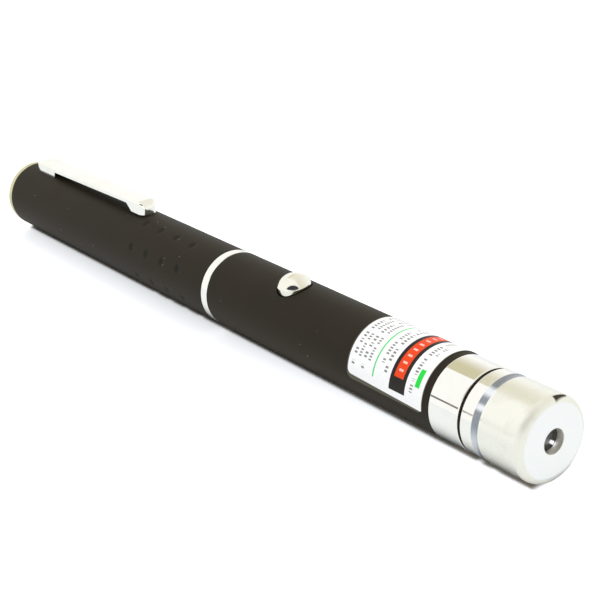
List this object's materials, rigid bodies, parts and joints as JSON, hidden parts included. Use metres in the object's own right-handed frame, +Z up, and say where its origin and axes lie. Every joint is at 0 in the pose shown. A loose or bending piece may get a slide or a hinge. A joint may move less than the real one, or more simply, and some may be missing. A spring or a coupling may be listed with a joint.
{
  "type": "laser pointer",
  "caption": "Slim pen shaped laser pointer with a push button, pocket clip, screwed battery tube and screwed front cap.",
  "frame": {"origin": "middle of the pen's length, on the surface it lies on", "axes": "+X along the pen towards the beam's exit, +Z up through the button"},
  "size_m": [0.16, 0.0144, 0.0173],
  "materials": {
    "barrel_paint": "matte warm black paint on a brass tube",
    "chrome": "bright plated brass, polished with faint turning lines",
    "clip_chrome": "bright plated spring steel sheet",
    "button_chrome": "bright plated and domed",
    "label_film": "printed white film with plain stripes",
    "module_brass": "turned brass",
    "lens_black": "black anodised aluminium",
    "diode_gold": "gold plated",
    "crystal": "clear polished crystal",
    "filter_glass": "tinted coated glass",
    "lens_glass": "clear polished glass",
    "board_green": "solder mask over glass fibre board",
    "black_moulding": "moulded black resin",
    "trimmer_body": "moulded pale body with a metal dial",
    "capacitor_resin": "moulded amber resin",
    "resistor_body": "ceramic with tinned ends",
    "switch_steel": "pressed bright steel",
    "plunger_plastic": "moulded black plastic",
    "insulator": "pale fibre board",
    "spring_steel": "nickel plated spring wire",
    "cell_steel": "nickel plated steel",
    "cell_filling": "dark pressed filling",
    "cell_film": "plain shrunk film with one pale band",
    "cell_seal": "moulded nylon seal"
  },
  "bodies": {
    "front_body": {"front_barrel": "barrel_paint", "joint_ring": "chrome", "nose_ring": "chrome", "label": "label_film", "module_housing": "module_brass", "crystal_mount": "module_brass", "lens_barrel": "lens_black", "lens_lock_ring": "lens_black", "pump_diode": "diode_gold", "diode_can": "diode_gold", "diode_leads": "diode_gold", "laser_crystal": "crystal", "filter_plate": "filter_glass", "expander_lens": "lens_glass", "collimating_lens": "lens_glass", "driver_board": "board_green", "driver_chip": "black_moulding", "transistor": "black_moulding", "trimmer": "trimmer_body", "capacitor": "capacitor_resin", "resistors": "resistor_body", "switch_base": "black_moulding", "switch_cover": "switch_steel", "switch_pins": "switch_steel", "contact_carrier": "insulator", "contact_spring": "spring_steel", "earth_tab": "switch_steel"},
    "button": {"button_cap": "button_chrome"},
    "switch_plunger": {"switch_plunger": "plunger_plastic"},
    "cells": {"rear_cell_can": "cell_steel", "rear_cell_core": "cell_filling", "rear_cell_sleeve": "cell_film", "rear_cell_seal": "cell_seal", "rear_cell_terminal": "cell_steel", "front_cell_can": "cell_steel", "front_cell_core": "cell_filling", "front_cell_sleeve": "cell_film", "front_cell_seal": "cell_seal", "front_cell_terminal": "cell_steel"},
    "rear_body": {"rear_tube": "barrel_paint", "tail_cap": "chrome", "tail_spring": "spring_steel", "clip_base": "clip_chrome"},
    "clip": {"clip_arm": "clip_chrome"},
    "cap_window": {"cap_window": "lens_glass"},
    "front_cap": {"front_cap": "chrome"}
  },
  "joints": [
    {"name": "button_press", "type": "slide", "parent": "front_body", "child": "button", "axis": [0, 0, -1], "range_m": [0, 0.0004], "stiffness_N_per_m": 2500, "springref_m": -0.0002},
    {"name": "plunger_press", "type": "slide", "parent": "front_body", "child": "switch_plunger", "axis": [0, 0, -1], "range_m": [0, 0.0004]},
    {"name": "cells_slide", "type": "slide", "parent": "front_body", "child": "cells", "axis": [-1, 0, 0], "range_m": [0, 0.009]},
    {"name": "rear_tube_turn", "type": "hinge", "parent": "cells", "child": "rear_body", "pos_m": [0, 0, 0.0071], "axis": [-1, 0, 0], "range_deg": [0, 2592]},
    {"name": "window_slide", "type": "slide", "parent": "front_body", "child": "cap_window", "axis": [1, 0, 0], "range_m": [0, 0.0055]},
    {"name": "front_cap_turn", "type": "hinge", "parent": "cap_window", "child": "front_cap", "pos_m": [0, 0, 0.0071], "axis": [1, 0, 0], "range_deg": [0, 2640]},
    {"name": "clip_flex", "type": "hinge", "parent": "rear_body", "child": "clip", "pos_m": [-0.0662, 0.00153, 0.01627], "axis": [0, -0.9863, 0.165], "range_deg": [0, 3], "stiffness_Nm_per_rad": 4.8}
  ],
  "couplings": [
    {"joint": "plunger_press", "follows": "button_press", "ratio": 1},
    {"joint": "rear_tube_turn", "follows": "cells_slide", "rad_per_m": 5026.5},
    {"joint": "front_cap_turn", "follows": "window_slide", "rad_per_m": 8377.6}
  ]
}
